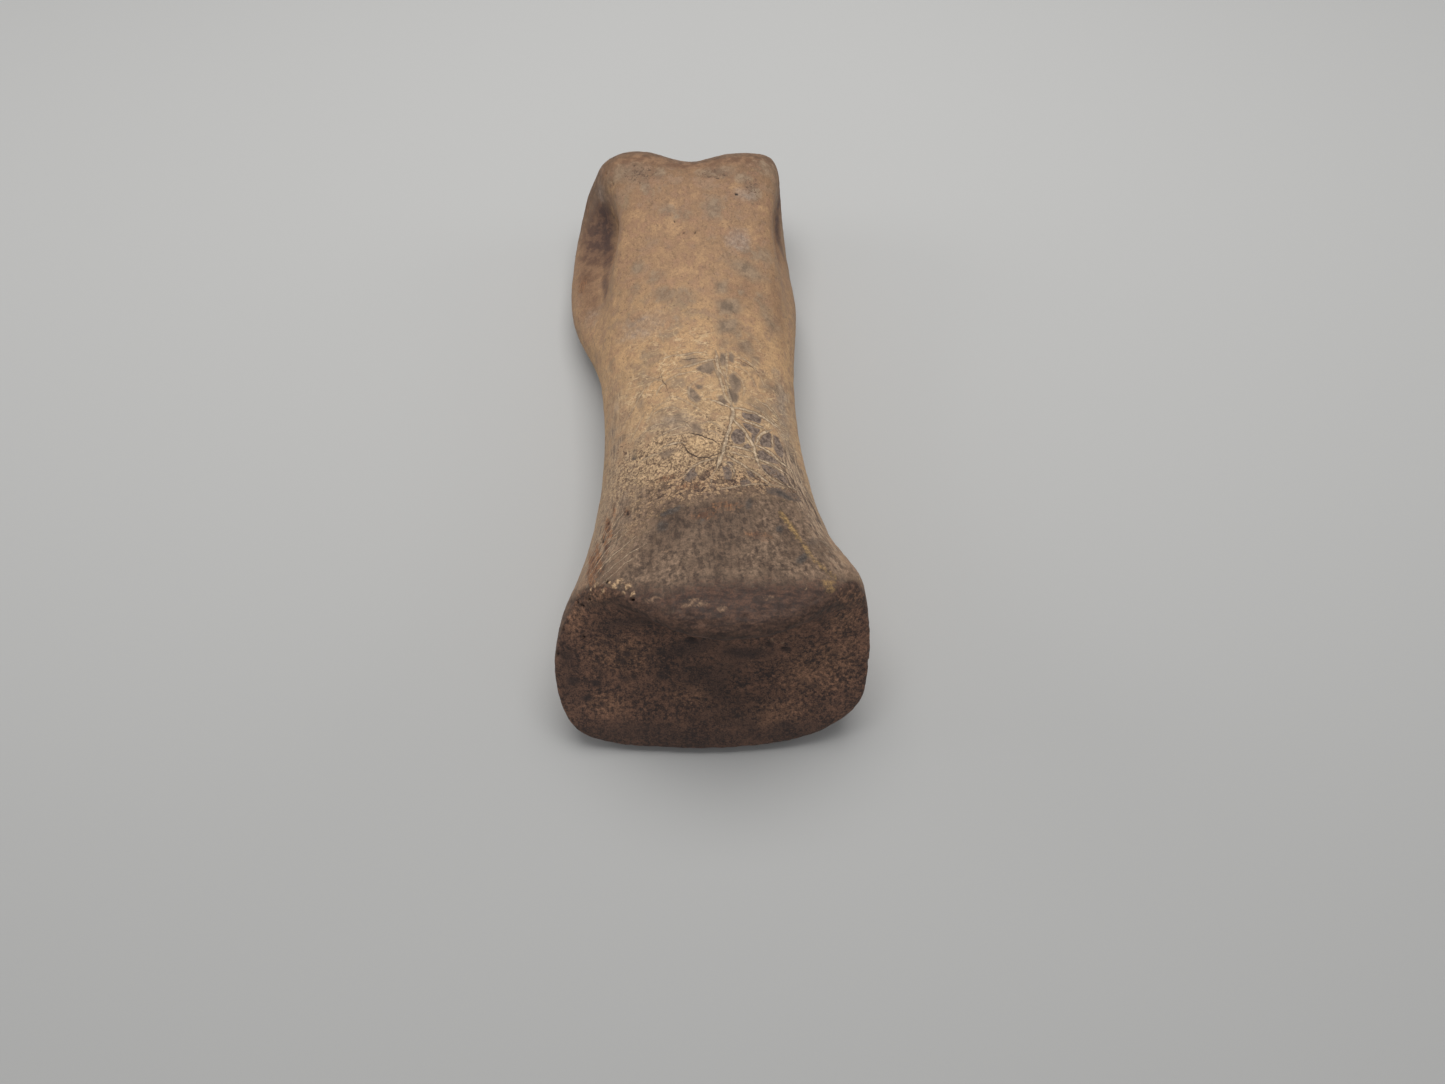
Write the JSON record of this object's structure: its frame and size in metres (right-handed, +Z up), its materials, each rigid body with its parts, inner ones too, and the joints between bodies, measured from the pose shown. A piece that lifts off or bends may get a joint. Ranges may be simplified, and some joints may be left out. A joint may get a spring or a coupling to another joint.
{
  "type": "fossil dinosaur toe bone",
  "caption": "Long fossil toe bone with a hollowed near joint under an overhanging lip, a waisted shaft and a grooved, pulley-shaped far joint with ligament pits.",
  "frame": {"origin": "middle of the bone's footprint, on the surface it rests on", "axes": "+Z up through the bone's back, +Y along the bone from the near joint to the pulley-shaped far joint, +X to the right seen from the near joint"},
  "size_m": [0.032, 0.0774, 0.0209],
  "materials": {
    "fossil_bone": "dry, slightly polished mineralised bone, tan over the shaft and dark brown at the near joint"
  },
  "bodies": {
    "root": {"toe_bone": "fossil_bone"}
  },
  "joints": []
}
